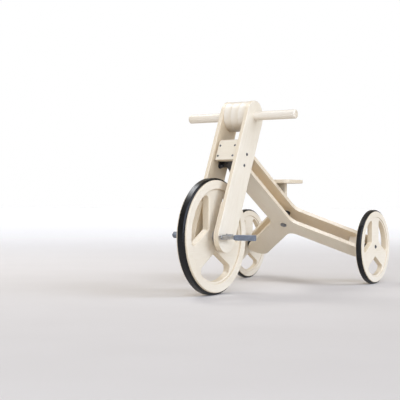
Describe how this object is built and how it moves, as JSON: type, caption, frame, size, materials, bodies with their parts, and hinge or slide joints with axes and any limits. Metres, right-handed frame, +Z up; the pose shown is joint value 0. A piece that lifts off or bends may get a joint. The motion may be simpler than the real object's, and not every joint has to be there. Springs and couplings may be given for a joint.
{
  "type": "children's pedal tricycle",
  "caption": "Wooden children's tricycle: Y-shaped plywood frame, steered fork with handlebar dowel, direct-drive pedals, wooden wheels with rubber tyres.",
  "frame": {"origin": "on the ground under the middle of the tricycle's bounding box", "axes": "+X forward (front wheel end), +Y to the rider's left, +Z up"},
  "size_m": [0.935, 0.5198, 0.5937],
  "materials": {
    "birch_plywood": "clear satin lacquer on birch plywood, laminated edges",
    "solid_beech": "clear satin lacquer",
    "tyre_rubber": "smooth solid rubber",
    "black_steel": "black powder coat",
    "zinc_steel": "zinc-plated",
    "nylon": "black nylon",
    "pedal_resin": "grey-blue moulded resin",
    "pedal_cap": "dark moulded resin"
  },
  "bodies": {
    "frame": {"frame_plate_lower": "birch_plywood", "frame_plate_upper": "birch_plywood", "head_tube": "black_steel", "head_bushes": "nylon", "junction_bolt": "zinc_steel", "junction_sleeve": "black_steel", "junction_nut": "zinc_steel", "arm_block_left": "solid_beech", "arm_block_right": "solid_beech", "stub_axle_left": "zinc_steel", "stub_axle_right": "zinc_steel", "axle_spacers": "black_steel", "hub_screws": "zinc_steel", "seat_board": "birch_plywood", "seat_post": "birch_plywood", "seat_gusset": "birch_plywood", "seat_screws": "zinc_steel"},
    "fork": {"bar_disc_centre": "solid_beech", "bar_disc_left": "solid_beech", "bar_disc_right": "solid_beech", "blade_bolts": "zinc_steel", "blade_cap_nuts": "black_steel", "block_front_plate": "birch_plywood", "bracket_lower": "black_steel", "bracket_screws": "black_steel", "bracket_upper": "black_steel", "fork_blade_left": "birch_plywood", "fork_blade_right": "birch_plywood", "fork_bushes": "nylon", "fork_doubler_left": "birch_plywood", "fork_doubler_right": "birch_plywood", "front_plate_screws": "zinc_steel", "handlebar": "solid_beech", "pin_nut": "zinc_steel", "pin_washers": "zinc_steel", "steering_block": "solid_beech", "steering_pin": "zinc_steel"},
    "front_wheel": {"front_wheel_web": "birch_plywood", "front_rings": "birch_plywood", "front_tyre": "tyre_rubber", "hub_flanges": "zinc_steel", "front_axle": "zinc_steel", "crank_left": "zinc_steel", "crank_right": "zinc_steel", "pedal_spindle_left": "zinc_steel", "pedal_spindle_right": "zinc_steel"},
    "pedal_left": {"pedal_left": "pedal_resin", "pedal_left_caps": "pedal_cap"},
    "pedal_right": {"pedal_right": "pedal_resin", "pedal_right_caps": "pedal_cap"},
    "rear_wheel_left": {"rear_web_left": "birch_plywood", "rear_rings_left": "birch_plywood", "rear_tyre_left": "tyre_rubber", "rear_bush_left": "nylon"},
    "rear_wheel_right": {"rear_web_right": "birch_plywood", "rear_rings_right": "birch_plywood", "rear_tyre_right": "tyre_rubber", "rear_bush_right": "nylon"}
  },
  "joints": [
    {"name": "steering", "type": "hinge", "parent": "frame", "child": "fork", "pos_m": [0.11476, 0, 0.389], "axis": [-0.5, 0, 0.866], "range_deg": [-35, 35]},
    {"name": "front_wheel_spin", "type": "hinge", "parent": "fork", "child": "front_wheel", "pos_m": [0.2925, 0, 0.175], "axis": [0, 1, 0], "continuous": true},
    {"name": "pedal_left_spin", "type": "hinge", "parent": "front_wheel", "child": "pedal_left", "pos_m": [0.3425, 0.142, 0.175], "axis": [0, 1, 0], "continuous": true},
    {"name": "pedal_right_spin", "type": "hinge", "parent": "front_wheel", "child": "pedal_right", "pos_m": [0.2425, -0.142, 0.175], "axis": [0, 1, 0], "continuous": true},
    {"name": "rear_wheel_left_spin", "type": "hinge", "parent": "frame", "child": "rear_wheel_left", "pos_m": [-0.3425, 0.247, 0.125], "axis": [0, 1, 0], "continuous": true},
    {"name": "rear_wheel_right_spin", "type": "hinge", "parent": "frame", "child": "rear_wheel_right", "pos_m": [-0.3425, -0.247, 0.125], "axis": [0, 1, 0], "continuous": true}
  ]
}
